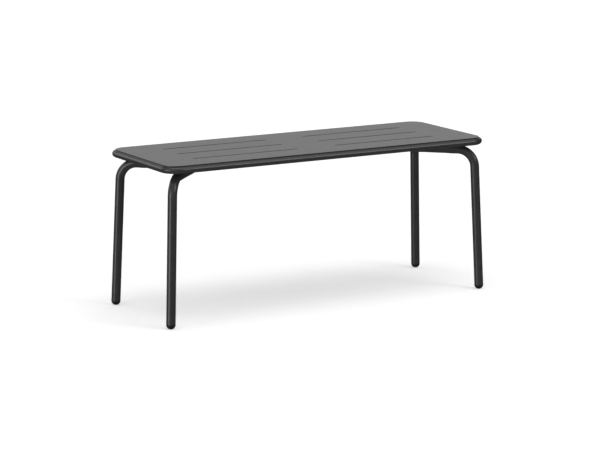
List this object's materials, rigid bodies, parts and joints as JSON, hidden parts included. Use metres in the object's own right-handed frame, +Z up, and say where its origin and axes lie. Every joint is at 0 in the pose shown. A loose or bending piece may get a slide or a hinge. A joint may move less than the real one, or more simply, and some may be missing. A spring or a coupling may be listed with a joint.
{
  "type": "backless bench",
  "caption": "Low backless outdoor bench: flat slotted steel seat edged by a round rim tube, on splayed bent-tube leg frames with domed feet.",
  "frame": {"origin": "on the floor, under the middle of the seat", "axes": "+X along the bench to its right end, +Y from front to rear, +Z up"},
  "size_m": [1.04, 0.38, 0.45],
  "materials": {
    "graphite_coat": "fine-textured matte graphite powder coat",
    "black_plastic": "matte moulded black plastic",
    "zinc_hardware": "bright zinc plated",
    "plain_steel": "plain mill-finish steel tube"
  },
  "bodies": {
    "root": {"seat_plate": "graphite_coat", "rim_tube": "graphite_coat", "rim_joint_sleeve": "plain_steel", "cross_bearer_left": "graphite_coat", "cross_bearer_right": "graphite_coat", "stringer_front": "graphite_coat", "stringer_rear": "graphite_coat", "leg_frame_left": "graphite_coat", "leg_frame_right": "graphite_coat", "rim_stitch_welds": "graphite_coat", "channel_seam_welds": "graphite_coat", "channel_end_welds": "graphite_coat", "foot_glide_front_left": "black_plastic", "foot_glide_rear_left": "black_plastic", "saddle_pads_left": "black_plastic", "access_plugs_left": "black_plastic", "curved_washers_left": "zinc_hardware", "frame_bolts_left": "zinc_hardware", "weld_nuts_left": "zinc_hardware", "foot_glide_front_right": "black_plastic", "foot_glide_rear_right": "black_plastic", "saddle_pads_right": "black_plastic", "access_plugs_right": "black_plastic", "curved_washers_right": "zinc_hardware", "frame_bolts_right": "zinc_hardware", "weld_nuts_right": "zinc_hardware"}
  },
  "joints": []
}
